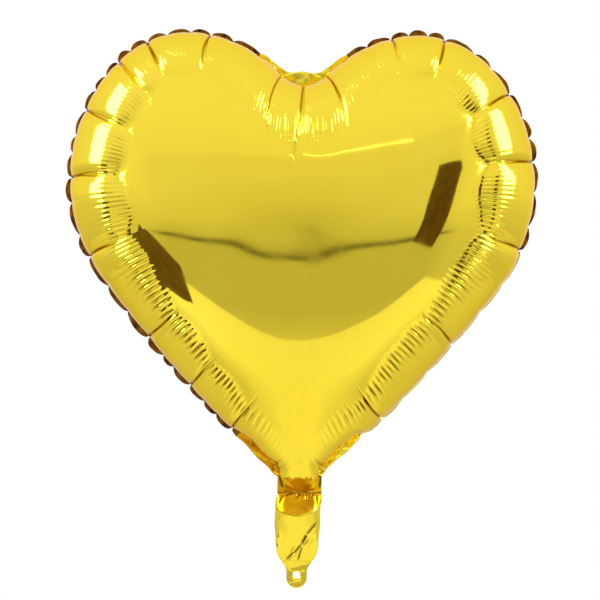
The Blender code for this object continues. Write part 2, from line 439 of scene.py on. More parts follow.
def border_width(place):
    """How far in the puffed border reaches: wide on the lobes, narrow on the flanks."""
    half = 2 * np.minimum(place, 1 - place)
    marks = [0.0, 0.10, 0.22, 0.32, 0.42, 0.55, 0.66, 0.80, 0.90, 0.96, 1.0]
    widths = [0.016, 0.026, 0.033, 0.036, 0.043, 0.046, 0.045, 0.040, 0.040, 0.050, 0.056]
    return np.interp(half, marks, widths)


# ---------------------------------------------------------------- panel relief


def pillow(t, power):
    return 1 - np.abs(2 * t - 1) ** power


def across_tube(t, half):
    """The border's section: 0 at the seam, 1 about half way, and a slight valley past its inner edge.

    It is flat-topped and firm at the sides, and simply round on the lobes.
    """
    t = t / KINK
    firm = np.interp(half, [0.10, 0.20, 0.42, 0.70, 0.80, 0.88], [0.2, 0.6, 1.0, 1.0, 0.4, 0.0])
    inside = np.clip(t, 0, 1)
    tube = firm * pillow(inside, 3.2) + (1 - firm) * np.sin(math.pi * inside**0.85)
    beyond = np.clip((t - 1) / 0.08, 0, 12)
    return tube - 0.08 * beyond * np.exp(1 - beyond)


def tube_height(half):
    """The border's height as a share of its width: fullest at the sides, low at the notch."""
    marks = [0.0, 0.38, 0.45, 0.54, 0.62, 0.86, 0.93, 1.0]
    shares = [0.85, 0.85, 1.00, 1.00, 0.85, 0.90, 0.50, 0.38]
    return TUBE_HEIGHT * np.interp(half, marks, shares)


def relief(place, way, seed):
    """How far the film stands out from the plain puffed form, at a place on the loop and a way in.

    Gives also the painted shade of the folds there, from 0 to 1, which darkens the film's colour.
    """
    half = 2 * np.minimum(place, 1 - place)
    border = border_width(place)
    _, along = within(place, DEEP)
    edge = border * (0.87 + 0.13 * pillow(along, 2.4)) * (1 + 0.06 * wave_noise(place, seed, 3, 6))
    t = way / edge

    # Puffed cushions between the deep creases; beside a crease the border is low
    merge = 1 - 0.55 * smooth((t - 0.5) / 0.45)
    hump = 1 - merge * np.abs(2 * along - 1) ** 5
    past_neck = smooth((half - 0.02) / 0.10)
    tube = tube_height(half) * border * across_tube(t, half)
    tube = tube * (0.25 + 0.75 * hump) * (0.2 + 0.8 * past_neck)

    # Small cushions between all the seam's pinches, right at the rim
    _, along_small = within(place, PINCHES)
    small = SMALL_CUSHION * (pillow(along_small, 2.6) - 0.5) * np.exp(-way / 0.006)
    # The right flank's border overhangs its own seam.
    bulge = FLANK_BULGE * turned_away(place) * smooth((place - 0.045) / 0.03) * np.exp(-way / 0.02)

    crease = creases(place, way)
    pleat = pleats(place, t, half, seed)
    gathers = neck_gathers(place, way)
    out = tube + small + bulge - CREASE_DEPTH * crease - PLEAT_DEPTH * pleat - GATHER_DEPTH * gathers
    # Painted shade: dark in the deep creases, in the pleats' grooves and in the neck's gathers
    marks = [0.08, 0.13, 0.36, 0.46, 0.66, 0.76, 0.86]
    shade = np.interp(half, marks, [0.0, 0.9, 0.8, 0.30, 0.20, 0.30, 0.0])
    dark = np.interp(half, [0.90, 0.96], [1.0, 0.7])
    return out, np.clip(dark * crease + shade * smooth((pleat - 0.22) / 0.35) + 0.7 * gathers, 0, 1)


def creases(place, way):
    """The deep creases, narrow and sharp, each with a slight wander: 1 at the bottom of a full one."""
    deepest = np.zeros_like(way)
    for i, (at, length) in enumerate(zip(DEEP, CREASE_LENGTHS)):
        off = (np.mod(place - at + 0.5, 1.0) - 0.5) * RIM_LENGTH
        at_notch = length > CREASE_LENGTH
        wander = NOTCH_CREASE_WANDER if at_notch else CREASE_WANDER
        half_width = NOTCH_CREASE_HALF_WIDTH if at_notch else CREASE_HALF_WIDTH
        off = off + wander * np.sin(way / 0.007 + 2.1 * i) + 0.06 * way * math.sin(3.7 * i)
        depth = np.clip(1 - way / length, 0, 1) ** 0.5
        deepest = np.maximum(deepest, depth * np.exp(-(np.abs(off / half_width) ** 1.3)))
    return deepest


def pleats(place, t, half, seed):
    """Fine gathers square to the seam, deepest just before the border's inner edge: 0 to 1."""
    dice = np.random.default_rng(seed)
    number = place * PLEATS + 0.35 * wave_noise(place, seed + 1, 3, 5)
    number = number + NOTCH_PLEATS * np.tanh((place - 0.5) / 0.014)
    index = np.mod(np.round(number).astype(int), PLEATS)
    depth = dice.uniform(0.5, 1.0, PLEATS)[index]
    start = dice.uniform(0.30, 0.50, PLEATS)[index]
    end = dice.uniform(0.98, 1.06, PLEATS)[index]
    groove = (0.5 + 0.5 * np.cos(2 * math.pi * number)) ** 1.4
    body = np.sin(math.pi * np.clip((t - start) / (end - start), 0, 1) ** 1.9)
    marks = [0.0, 0.05, 0.12, 0.44, 0.52, 0.66, 0.84, 0.92, 0.96, 1.0]
    strength = np.interp(half, marks, [0.0, 0.1, 0.9, 0.8, 0.38, 0.36, 0.20, 0.30, 0.48, 0.46])
    return depth * groove * body * strength


def neck_gathers(place, way):
    """Short gathers where the film narrows into the tail."""
    off = (np.mod(place + 0.5, 1.0) - 0.5) * RIM_LENGTH
    groove = (0.5 + 0.5 * np.cos(2 * math.pi * (off / GATHER_PITCH + 0.8 * np.sin(off / 0.009)))) ** 2
    reach = 0.005 + 0.006 * (0.5 + 0.5 * np.sin(off / 0.0027 + 1.0))
    return groove * np.exp(-((way / reach) ** 2)) * smooth((0.030 - np.abs(off)) / 0.006)


def ripples(plan):
    """The middle's very slight waves, which only show in what it mirrors."""
    dice = np.random.default_rng(5)
    total = np.zeros(len(plan))
    for _ in range(9):
        turn = dice.uniform(0, 2 * math.pi)
        length = dice.uniform(0.045, 0.11)
        across = plan @ np.array([math.cos(turn), math.sin(turn)])
        total += np.sin(2 * math.pi * (across / length + dice.random()))
    return RIPPLE_HEIGHT * total


# ---------------------------------------------------------------- panels


def column_places(puff):
    """Places on the loop for the columns: even part way between even at the rim and even well inside."""
    even = np.arange(500) / 500
    points, _, length = rim_at(even)
    places, _ = puff.inward(points, [0.1, 0.2, 0.3])
    inner = np.vstack([places[-1], places[-1][:1]])
    outer = np.linspace(0, 1, 501)
    mixed = 0.5 * outer + 0.5 * lengths_along(inner) / lengths_along(inner)[-1]
    even_columns = np.interp(np.linspace(0, 1, 20001), mixed, outer)
    # Columns are closer together beside each deep crease and at the notch.
    off = np.abs(np.mod(even_columns[:, None] - DEEP + 0.5, 1.0) - 0.5).min(axis=1) * length
    near_notch = smooth((0.030 - np.abs(even_columns - 0.5)) / 0.01)
    crowding = 1 + 2.5 * np.exp(-((off / 0.0024) ** 2)) + 2.0 * near_notch
    share = np.r_[0, np.cumsum(0.5 * (crowding[1:] + crowding[:-1]))]
    return np.interp(np.arange(COLUMNS) / COLUMNS, share / share[-1], even_columns), length


def ring_plans(puff):
    """(places on the loop, plan points, ways in) of each ring inside the rim, coarser in the middle."""
    fine = BORDER_DEPTH * (np.arange(1, BORDER_RINGS + 1) / BORDER_RINGS) ** 2
    radii = np.linspace(math.sqrt(1 - BORDER_DEPTH), CAP_RADIUS, MIDDLE_RINGS + 1)[1:]
    plans, ways = puff.inward(RIM_POINTS, np.r_[fine, 1 - radii**2])
    rings = []
    for i, (plan, way) in enumerate(zip(plans, ways)):
        every = 1 if i < BORDER_RINGS else 2 if i == BORDER_RINGS else 4
        rings.append((PLACES[::every], plan[::every], way[::every]))
    return rings


def lift(puff, plan, out, side):
    """Points of the panel over plan places: the puffed form, and out metres more along its normal."""
    depth = np.clip(puff.depth(plan), 1e-6, 1)
    share, steep = balloon_profile(depth)
    height = HALF_THICKNESS * share
    fall = HALF_THICKNESS * steep[:, None] * puff.slope(plan)
    normal = np.column_stack([-fall[:, 0], np.ones(len(plan)), -fall[:, 1]])
    normal /= np.linalg.norm(normal, axis=1)[:, None]
    out = out + ripples(plan) * depth
    x = plan[:, 0] + normal[:, 0] * out
    y = height + normal[:, 1] * out
    z = plan[:, 1] + normal[:, 2] * out
    return np.column_stack([x, side * (HALF_GAP + np.maximum(y, 0)), z])


def make_panel(name, side, seed, material):
    """One foil panel: a pleated border in fine columns, then a smooth middle in coarser ones."""
    out, fold = relief(PLACES, np.zeros(COLUMNS), SEAM_SEED)
    rim_row = RIM_POINTS + RIM_NORMALS * out[:, None]
    rows = [np.column_stack([rim_row[:, 0], np.full(COLUMNS, side * HALF_GAP), rim_row[:, 1]])]
    fold_shades = [fold]
    for place, plan, way in RINGS:
        out, fold = relief(place, way, seed)
        rows.append(lift(PUFF, plan, out, side))
        fold_shades.append(fold)
    cap = RINGS[-1][1]
    for share in (0.66, 0.33):
        rows.append(lift(PUFF, PUFF.top + share * (cap - PUFF.top), 0.0, side))
    top = lift(PUFF, PUFF.top[None], 0.0, side)

    starts = np.r_[0, np.cumsum([len(row) for row in rows])]
    faces = []
    for i in range(len(rows) - 1):
        faces += strip_faces(int(starts[i]), int(starts[i + 1]), (len(rows[i]), len(rows[i + 1])))
    last = int(starts[-2])
    size = len(rows[-1])
    faces += [(last + i, last + (i + 1) % size, int(starts[-1])) for i in range(size)]
    if side > 0:
        faces = [face[::-1] for face in faces]
    panel = mesh_object(name, np.vstack(rows + [top]), faces, material)
    # The fold attribute holds painted shade for the foil's colour
    store_painted_fold_shade(panel, np.concatenate(fold_shades))
    return panel


# ---------------------------------------------------------------- seam

PINCH_WIDTH = 0.0007
SCALLOP_WIDTH = 0.0031
NOTCH_WEB_WIDTH = 0.0034
NOTCH_WEB_MORE = 0.0080
TIP_WEB_WIDTH = 0.0050
EDGE_CURL = 0.0007
WEB_CRUMPLE = 0.0011
WEB_LEAN = 0.0012


def web_share(place):
    """1 where the seam is a crumpled web of loose foil, at the notch and beside the neck, else 0."""
    half = 2 * np.minimum(place, 1 - place)
    notch = smooth((half - 0.915) / 0.02)
    tip = smooth((0.112 - half) / 0.012)
    return np.maximum(notch, tip)


def web_width(place):
    """The web's width: widest in the middle of the notch, and even beside the neck."""
    from_notch = np.abs(place - 0.5) * RIM_LENGTH
    half = 2 * np.minimum(place, 1 - place)
    notch = NOTCH_WEB_WIDTH + NOTCH_WEB_MORE * np.exp(-((from_notch / 0.017) ** 2))
    tip = 0.0008 + TIP_WEB_WIDTH * smooth((half - 0.010) / 0.03)
    ragged = 1 + 0.10 * wave_noise(place, 31, 3, 14)
    return np.where(half > 0.5, notch, tip) * ragged


def turned_away(place):
    """1 on the right flank, where the seam lies behind the panel's own edge."""
    return smooth((0.235 - place) / 0.03)


def seam_width(place):
    """How far the seam stands out beyond the panels: full in each scallop, little at a pinch."""
    _, along = within(place, PINCHES)
    scallop = np.sqrt(np.clip(1 - (2 * along - 1) ** 2, 0, 1))
    full = SCALLOP_WIDTH * (1 + 0.35 * wave_noise(place, 11, 3, 9))
    plain = PINCH_WIDTH + full * scallop * (1 - 0.85 * turned_away(place))
    web = web_share(place)
    return plain * (1 - web) + web * web_width(place)


def crumple(place, share):
    """Facets of the loose foil: folded waves along the web that change over its width."""
    total = np.zeros_like(place)
    for i, (count, lean) in enumerate(((61, 0.5), (97, -0.7), (29, 0.9))):
        wave = place * count + lean * share + 0.37 * i + 0.5 * wave_noise(place, 40 + i, 2, 6)
        total += 0.5 * np.sin(2 * math.pi * wave) / (1 + 0.4 * i)
    return total


def make_seam(edge_material, web_material, amber_reflection_foil):
    """The welded seam: a thin scalloped band all round, with crumpled webs at the notch and the tip.

    The webs and the right flank's edge take the web's material, and the tip's left web the amber of a
    painted reflection.
    """
    out = relief(PLACES, np.zeros(COLUMNS), SEAM_SEED)[0]
    rim = RIM_POINTS + RIM_NORMALS * out[:, None]
    width = seam_width(PLACES)
    web = web_share(PLACES)
    # The webs' outer edges run smoothly past the ends of the creases.
    width = width - web * out
    # The notch's web is smoother than the tip's.
    crumpled = WEB_CRUMPLE * web * np.where(PLACES * (1 - PLACES) > 0.24, 0.5, 1.0)
    curl = EDGE_CURL * wave_noise(PLACES, 12, 4, 10)
    across = [-0.0008, 0.0, 0.12, 0.25, 0.38, 0.5, 0.62, 0.75, 0.88, 1.0]
    rows = []
    for face in (-1, 1):
        for share in across if face < 0 else across[::-1]:
            reach = share if share <= 0 else share * width
            bend = curl * max(share, 0) ** 2
            bend = bend - crumpled * crumple(PLACES, share) * smooth(share / 0.12) - WEB_LEAN * web * share
            thick = 0.5 * FILM * (0.4 if share == 1.0 else 1.0)
            plan = rim + RIM_NORMALS * np.broadcast_to(reach, COLUMNS)[:, None]
            rows.append(np.column_stack([plan[:, 0], face * thick + bend, plan[:, 1]]))
    faces = []
    for i in range(len(rows)):
        after = (i + 1) % len(rows)
        faces += [face[::-1] for face in strip_faces(i * COLUMNS, after * COLUMNS, (COLUMNS, COLUMNS))]
    band = mesh_object("welded_seam", np.vstack(rows), faces, edge_material)
    band.data.materials.append(web_material)
    band.data.materials.append(amber_reflection_foil)
    plain_foil = np.maximum(web, turned_away(PLACES)) > 0.5
    # Painted reflection: the tip's left web is coloured amber
    amber_reflection_web = (web > 0.5) & (PLACES > 0.6)
    slots = np.tile(plain_foil.astype(np.int32) + amber_reflection_web, len(rows)).astype(np.int32)
    band.data.polygons.foreach_set("material_index", slots)
    return band


# ---------------------------------------------------------------- tail and tab


def softened(z, heights, values, blur=0.0011):
    """A table read between its entries in straight lines, with its corners rounded off."""
    shifts = np.linspace(-blur, blur, 7)
    return np.mean([np.interp(z + shift, heights, values) for shift in shifts], axis=0)


def wrinkle(x, z, start, end, depth, half_width):
    """A sharp fold from start to end, deepest in its middle, with a low swelling on each side."""
    way = np.subtract(end, start)
    length = math.hypot(*way)
    along = ((x - start[0]) * way[0] + (z - start[1]) * way[1]) / length**2
    across = ((x - start[0]) * way[1] - (z - start[1]) * way[0]) / length
    along_fade = np.clip(1 - (2 * np.clip(along, 0, 1) - 1) ** 4, 0, 1) * (along > 0) * (along < 1)
    fold = np.exp(-np.abs(across / half_width)) - 0.35 * np.exp(-((across / (3 * half_width)) ** 2))
    return -depth * along_fade * fold


def tail_face(x, z, seed):
    """How far a film of the tail or tab stands out from the middle, at a place on it."""
    half_width = np.interp(z, WIDTH_Z, WIDTH)
    u = np.clip(np.abs(x) / half_width, 0, 1)
    lens = (1 - u**3.4) ** 0.75
    # The crest is lower in the middle than at the edges, and the crease above it is level.
    bend = CREST_BEND * u**2 * np.clip((CREASE_Z - z) / 0.018, 0, 1) * np.clip((z - 0.014) / 0.026, 0, 1)
    out = softened(z - bend, SWELL_Z, SWELL) * lens
    if seed:
        x = -x
    for start, end, depth, half in WRINKLES:
        out = out + wrinkle(x, z, start, end, depth, half) * np.clip(4 * (1 - u), 0, 1)
    gathers = np.sin(2 * math.pi * x / 0.0043 + 1.7 * np.sin(x / 0.003 + seed))
    out = out + 0.00022 * gathers * np.exp(-(((z - CREASE_Z) / 0.0055) ** 2)) * np.clip(3 * (1 - u), 0, 1)
    soft = np.sin(x / 0.0031 + z / 0.0052 + seed) * np.sin(z / 0.0043 - x / 0.0066)
    return FILM / 2 + np.maximum(out + 0.00012 * soft * lens, 0)


def tail_painted_fold_shade(x, z):
    """Painted shade in the tail's wrinkles and along its crease, from 0 to 1."""
    crease = z - CREASE_Z - 0.0005 * np.sin(x / 0.0021)
    total = 0.42 * np.exp(-((crease / 0.0012) ** 2))
    for start, end, depth, half_width in WRINKLES:
        shade = wrinkle(x, z, start, end, -1.0, 1.7 * half_width)
        total = np.maximum(total, shade * min(1.0, depth / 0.0012))
    return smooth((total - 0.15) / 0.40)


def in_amber_reflection(x, z):
    """Whether a place on the tail gets the amber painted reflection of the heart's gold tip: from a shallow
    U to a toothed edge.
    """
    lower_edge = AMBER_REFLECTION_FOOT + 0.0055 * ((x + 0.003) / 0.016) ** 2
    upper_edge = AMBER_REFLECTION_TOP + 0.0014 * math.sin(x / 0.0009) * math.sin(x / 0.0031)
    return lower_edge < z < upper_edge


def join_foot(x, z, out):
    """Runs the tail's film smoothly into the heart's foot, and sinks its top end just under the panel."""
    depth = PUFF.depth(np.column_stack([x.ravel(), z.ravel()])).reshape(x.shape)
    foot = np.where(depth > 0, HALF_THICKNESS * balloon_profile(depth)[0], -0.02)
    joined = FOOT_BLEND * np.logaddexp(out / FOOT_BLEND, foot / FOOT_BLEND)
    sunk = joined - FOOT_SINK - TOP_SINK * smooth((z - 0.090) / 0.006)
    return out + smooth((z - 0.0785) / 0.003) * (sunk - out)


def tail_faces(size):
    """Faces of both sides of a tail film and round its edge; size is the number of points on one side."""
    faces = []
    for row in range(TAIL_ROWS - 1):
        for i in range(TAIL_COLUMNS - 1):
            a = row * TAIL_COLUMNS + i
            corners = (a, a + TAIL_COLUMNS, a + TAIL_COLUMNS + 1, a + 1)
            faces.append(corners)
            faces.append(tuple(corner + size for corner in corners[::-1]))
    top = list(range(TAIL_COLUMNS))
    right = [row * TAIL_COLUMNS + TAIL_COLUMNS - 1 for row in range(TAIL_ROWS)]
    bottom = [size - 1 - i for i in range(TAIL_COLUMNS)]
    left = [row * TAIL_COLUMNS for row in range(TAIL_ROWS - 1, -1, -1)]
    for line in (top, right, bottom, left):
        faces += [(a, b, b + size, a + size) for a, b in zip(line, line[1:])]
    return faces


def make_tail_film(name, side, seed, material, amber_reflection_foil):
    """One film of the tail, from inside the heart's tip to the tab: a wrinkled face over a flat one."""
    heights = np.linspace(TAIL_TOP, TAIL_FOOT, TAIL_ROWS)
    across = np.sin(np.linspace(-math.pi / 2, math.pi / 2, TAIL_COLUMNS))
    grid_z, grid_u = np.meshgrid(heights, across, indexing="ij")
    grid_x = grid_u * np.interp(grid_z, WIDTH_Z, WIDTH)
    grid_x = grid_x * (1 + 0.012 * np.sin(grid_z / 0.0037 + 3 * np.sign(grid_u)))
    lean = NECK_SHIFT * smooth((grid_z - 0.050) / 0.018)
    out = join_foot(grid_x + lean, grid_z, tail_face(grid_x, grid_z, seed))
    face = np.column_stack([(grid_x + lean).ravel(), side * out.ravel(), grid_z.ravel()])
    flat = face * [1, 0, 1] + [0, side * INNER_FACE, 0]
    faces = tail_faces(len(face))
    if side > 0:
        faces = [corners[::-1] for corners in faces]
    film = mesh_object(name, np.vstack([face, flat]), faces, material)
    # The fold attribute holds painted shade for the foil's colour
    store_painted_fold_shade(film, tail_painted_fold_shade(grid_x, grid_z).ravel())
    film.data.materials.append(amber_reflection_foil)
    # Painted reflection: amber where the heart's gold tip is mirrored in the tail's film
    for polygon in film.data.polygons:
        if in_amber_reflection(polygon.center.x, polygon.center.z):
            polygon.material_index = 1
    return film


def tab_outline():
    """The tab's outer edge from the tail's foot round its end, as one closed line."""
    turn = np.linspace(0, math.pi, 60)
    end = np.column_stack([TAB_HALF_WIDTH * np.cos(turn), TAB_ROUND_Z - TAB_HALF_WIDTH * np.sin(turn)])
    foot = np.interp(TAIL_FOOT, WIDTH_Z, WIDTH)
    shoulder = [(foot, TAIL_FOOT), (0.0104, 0.0085), (0.0091, 0.0062), (TAB_HALF_WIDTH, 0.0034)]
    right = np.array(shoulder)
    left = right[::-1] * [-1, 1]
    return np.vstack([right, end, left, right[:1]])


def make_tab_film(name, side, seed, material):
    """One film of the tab: rings of points from the ribbon hole out to its edge, with a flat inner face."""
    line = tab_outline()
    length = lengths_along(line)
    at = np.linspace(0, length[-1], TAB_POINTS, endpoint=False)
    outer = np.column_stack([np.interp(at, length, line[:, i]) for i in (0, 1)])
    hole = HOLE_R * outer / np.linalg.norm(outer, axis=1)[:, None]
    rows = []
    for share in np.linspace(0, 1, TAB_RINGS):
        plan = hole + share * (outer - hole)
        out = tail_face(plan[:, 0], plan[:, 1], seed)
        lip = 0.00025 * np.exp(-(((share * TAB_RINGS - 1.5) / 1.2) ** 2))
        dent = wrinkle(plan[:, 0], plan[:, 1], (-0.0062, -0.0072), (0.0050, -0.0050), 0.0004, 0.0008)
        stand = out + lip + np.clip(dent, -0.0001, 1)
        rows.append(np.column_stack([plan[:, 0], side * stand, plan[:, 1]]))
    rows += [row * [1, 0, 1] + [0, side * INNER_FACE, 0] for row in rows[::-1]]
    faces = []
    for i in range(len(rows)):
        after = (i + 1) % len(rows)
        faces += strip_faces(i * TAB_POINTS, after * TAB_POINTS, (TAB_POINTS, TAB_POINTS))
    if side < 0:
        faces = [face[::-1] for face in faces]
    return mesh_object(name, np.vstack(rows), faces, material)


# ---------------------------------------------------------------- materials

GOLD_LIGHT = (0.95, 0.74, 0.054, 1)
GOLD_DEEP = (0.92, 0.70, 0.042, 1)
# Amber painted reflection of the gold, for the tail and the tip's left web
AMBER_REFLECTION_LIGHT = (0.80, 0.47, 0.006, 1)
AMBER_REFLECTION_DEEP = (0.50, 0.22, 0.003, 1)
# Painted shade in the bottom of the folds
PAINTED_FOLD_SHADE = (0.13, 0.070, 0.004, 1)
GRAZING_TINT = (1.0, 0.80, 0.46, 1)
EDGE_DARK = (0.060, 0.016, 0.002, 1)
EDGE_LIGHT = (0.34, 0.14, 0.012, 1)
CLEAR_DARK = (0.80, 0.83, 0.83, 1)
CLEAR_LIGHT = (0.93, 0.95, 0.95, 1)
CARD_DARK = (0.060, 0.030, 0.014, 1)
CARD_LIGHT = (0.100, 0.052, 0.024, 1)
FLOOR_DARK = (0.84, 0.84, 0.83, 1)
FLOOR_LIGHT = (0.88, 0.88, 0.87, 1)
# Painted shade on the floor behind and beside the balloon
FLOOR_SHADE_BEHIND = (0.50, 0.50, 0.49, 1)
FLOOR_SHADE_BESIDE = (0.58, 0.58, 0.57, 1)


def new_material(name):
    material = bpy.data.materials.new(name)
    material.use_nodes = True
    nodes = material.node_tree.nodes
    return material, nodes, material.node_tree.links, nodes["Principled BSDF"]


def noise_node(nodes, links, scale, detail):
    place = nodes.new("ShaderNodeTexCoord")
    noise = nodes.new("ShaderNodeTexNoise")
    noise.inputs["Scale"].default_value = scale
    noise.inputs["Detail"].default_value = detail
    links.new(place.outputs["Object"], noise.inputs["Vector"])
    return noise


def ramp_between(nodes, links, source, low, high):
    """Spreads a noise over a range of values or between two colours."""
    ramp = nodes.new("ShaderNodeValToRGB")
    ramp.color_ramp.elements[0].position = 0.35
    ramp.color_ramp.elements[1].position = 0.65
    ramp.color_ramp.elements[0].color = low if isinstance(low, tuple) else (low, low, low, 1)
    ramp.color_ramp.elements[1].color = high if isinstance(high, tuple) else (high, high, high, 1)
    links.new(source, ramp.inputs["Fac"])
    return ramp.outputs["Color"]


def foil_material(name, light, deep, rough_low, rough_high, patch_scale=9.0):
    """Metallised film: a gold mirror, slightly hazy in patches, with a faint orange-peel surface and
    painted shade in its folds.
    """
    material, nodes, links, shader = new_material(name)
    patches = noise_node(nodes, links, patch_scale, 3.0)
    # Painted shade: the colour darkens in the bottom of each fold, as the fold attribute gives.
    fold = nodes.new("ShaderNodeAttribute")
    fold.attribute_name = "fold"
    shade = nodes.new("ShaderNodeMix")
    shade.data_type = "RGBA"
    links.new(fold.outputs["Fac"], shade.inputs["Factor"])
    links.new(ramp_between(nodes, links, patches.outputs["Fac"], deep, light), shade.inputs["A"])
    shade.inputs["B"].default_value = PAINTED_FOLD_SHADE
    links.new(shade.outputs["Result"], shader.inputs["Base Color"])
    haze = noise_node(nodes, links, 60.0, 5.0)
    rough = ramp_between(nodes, links, haze.outputs["Fac"], rough_low, rough_high)
    links.new(rough, shader.inputs["Roughness"])
    peel = noise_node(nodes, links, 420.0, 2.0)
    bump = nodes.new("ShaderNodeBump")
    bump.inputs["Strength"].default_value = 0.012
    bump.inputs["Distance"].default_value = 0.0002
    links.new(peel.outputs["Fac"], bump.inputs["Height"])
    links.new(bump.outputs["Normal"], shader.inputs["Normal"])
    shader.inputs["Metallic"].default_value = 1.0
    # Towards grazing the film mirrors tan, not white.
    shader.inputs["Specular Tint"].default_value = GRAZING_TINT
    shader.inputs["Coat Weight"].default_value = 0.06
    shader.inputs["Coat Roughness"].default_value = 0.04
    return material


def edge_material(name):
    """The welded edge seen at a slant: dull dark gold-brown, darker in blotches."""
    material, nodes, links, shader = new_material(name)
    blotches = noise_node(nodes, links, 110.0, 4.0)
    colour = ramp_between(nodes, links, blotches.outputs["Fac"], EDGE_DARK, EDGE_LIGHT)
    links.new(colour, shader.inputs["Base Color"])
    haze = noise_node(nodes, links, 240.0, 3.0)
    links.new(ramp_between(nodes, links, haze.outputs["Fac"], 0.18, 0.34), shader.inputs["Roughness"])
    shader.inputs["Metallic"].default_value = 1.0
    return material


def clear_film_material(name):
    """Clear soft film of the valve, a little milky in streaks."""
    material, nodes, links, shader = new_material(name)
    streaks = noise_node(nodes, links, 55.0, 4.0)
    colour = ramp_between(nodes, links, streaks.outputs["Fac"], CLEAR_DARK, CLEAR_LIGHT)
    links.new(colour, shader.inputs["Base Color"])
    links.new(ramp_between(nodes, links, streaks.outputs["Fac"], 0.12, 0.28), shader.inputs["Roughness"])
    shader.inputs["Transmission Weight"].default_value = 0.8
    shader.inputs["IOR"].default_value = 1.5
    return material


# ---------------------------------------------------------------- stage


FLOOR_Z = -0.25
FLOOR_X = 0.95
FLOOR_FRONT = -0.95
FLOOR_BACK = 1.6


def make_floor():
    """A plain pale floor, with painted shade beside and behind the balloon."""
    mesh = bpy.data.meshes.new("floor")
    front = [(-FLOOR_X, FLOOR_FRONT, FLOOR_Z), (FLOOR_X, FLOOR_FRONT, FLOOR_Z)]
    back = [(FLOOR_X, FLOOR_BACK, FLOOR_Z), (-FLOOR_X, FLOOR_BACK, FLOOR_Z)]
    mesh.from_pydata(front + back, [], [(0, 1, 2, 3)])
    floor = bpy.data.objects.new("floor", mesh)
    bpy.context.scene.collection.objects.link(floor)
    material, nodes, links, shader = new_material("pale_floor_painted_shade")
    grain = noise_node(nodes, links, 30.0, 4.0)
    tint = ramp_between(nodes, links, grain.outputs["Fac"], FLOOR_DARK, FLOOR_LIGHT)
    place = nodes.new("ShaderNodeTexCoord")
    split = nodes.new("ShaderNodeSeparateXYZ")
    links.new(place.outputs["Object"], split.inputs["Vector"])
    # Painted shade: darker behind the balloon and beside it
    behind = nodes.new("ShaderNodeMix")
    behind.data_type = "RGBA"
    links.new(map_node(nodes, links, split.outputs["Y"], 0.05, 0.55), behind.inputs["Factor"])
    links.new(tint, behind.inputs["A"])
    behind.inputs["B"].default_value = FLOOR_SHADE_BEHIND
    beside = nodes.new("ShaderNodeMix")
    beside.data_type = "RGBA"
    aside = map_node(nodes, links, math_node(nodes, links, "ABSOLUTE", split.outputs["X"]), 0.12, 0.32)
    beyond = map_node(nodes, links, split.outputs["Y"], -0.42, -0.20)
    links.new(math_node(nodes, links, "MULTIPLY", aside, beyond), beside.inputs["Factor"])
    links.new(behind.outputs["Result"], beside.inputs["A"])
    beside.inputs["B"].default_value = FLOOR_SHADE_BESIDE
    links.new(beside.outputs["Result"], shader.inputs["Base Color"])
    shader.inputs["Roughness"].default_value = 0.8
    mesh.materials.append(material)


def math_node(nodes, links, operation, first, second=0.0):
    """One sum of a shader: first and second are sockets or numbers."""
    made = nodes.new("ShaderNodeMath")
    made.operation = operation
    for socket, value in zip(made.inputs, (first, second)):
        if isinstance(value, float):
            socket.default_value = value
        else:
            links.new(value, socket)
    return made.outputs["Value"]


def map_node(nodes, links, value, low, high):
    """Spreads value from 0 at low to 1 at high, and holds it beyond them."""
    made = nodes.new("ShaderNodeMapRange")
    made.inputs["From Min"].default_value = low
    made.inputs["From Max"].default_value = high
    links.new(value, made.inputs["Value"])
    return made.outputs["Result"]


# The studio in front of the balloon: brightness by height of the look, from straight down at -1 to
# straight up at 1
ROOM_BANDS = (
    (-1.0, 0.50),
    (-0.42, 0.70),
    (-0.25, 0.57),
    (0.007, 0.58),
    (0.015, 0.08),
    (0.023, 0.10),
    (0.033, 0.62),
    (0.12, 0.76),
    (0.25, 0.84),
    (0.395, 0.86),
    (0.425, 0.92),
    (0.60, 0.97),
    (1.0, 1.00),
)
# The studio beside and behind the balloon, in the same way
BACK_BANDS = (
    (-1.0, 0.60),
    (-0.35, 0.68),
    (-0.12, 0.76),
    (0.02, 0.92),
    (1.0, 0.97),
)
# How much the far edge of the floor seems to dip to the sides, how much more to the left, and how much the
# ceiling's edge leans
EDGE_DIP = 0.25
LEFT_DIP = 0.07
CEILING_LEAN = 0.20
BACKDROP = (1.0, 1.0, 1.0, 1)


def band_ramp(nodes, links, level, bands):
    """A colour ramp of greys over the height of the look."""
    made = nodes.new("ShaderNodeValToRGB")
    while len(made.color_ramp.elements) < len(bands):
        made.color_ramp.elements.new(0.5)
    for element, (height, bright) in zip(made.color_ramp.elements, bands):
        element.position = (height + 1) / 2
        element.color = (bright, bright, bright, 1)
    links.new(map_node(nodes, links, level, -1.0, 1.0), made.inputs["Fac"])
    return made.outputs["Color"]


def band_level(nodes, links, x, z, aside):
    """The height of the look that the bands in front go by: lower to the sides, and leaning high up."""
    left = math_node(nodes, links, "MAXIMUM", math_node(nodes, links, "MULTIPLY", x, -LEFT_DIP))
    dip = math_node(nodes, links, "ADD", left, math_node(nodes, links, "MULTIPLY", aside, EDGE_DIP))
    lean = math_node(nodes, links, "MULTIPLY", x, -CEILING_LEAN)
    high = map_node(nodes, links, z, 0.05, 0.30)
    part_low = math_node(nodes, links, "MULTIPLY", dip, math_node(nodes, links, "SUBTRACT", 1.0, high))
    part_high = math_node(nodes, links, "MULTIPLY", lean, high)
    return math_node(nodes, links, "ADD", z, math_node(nodes, links, "ADD", part_low, part_high))


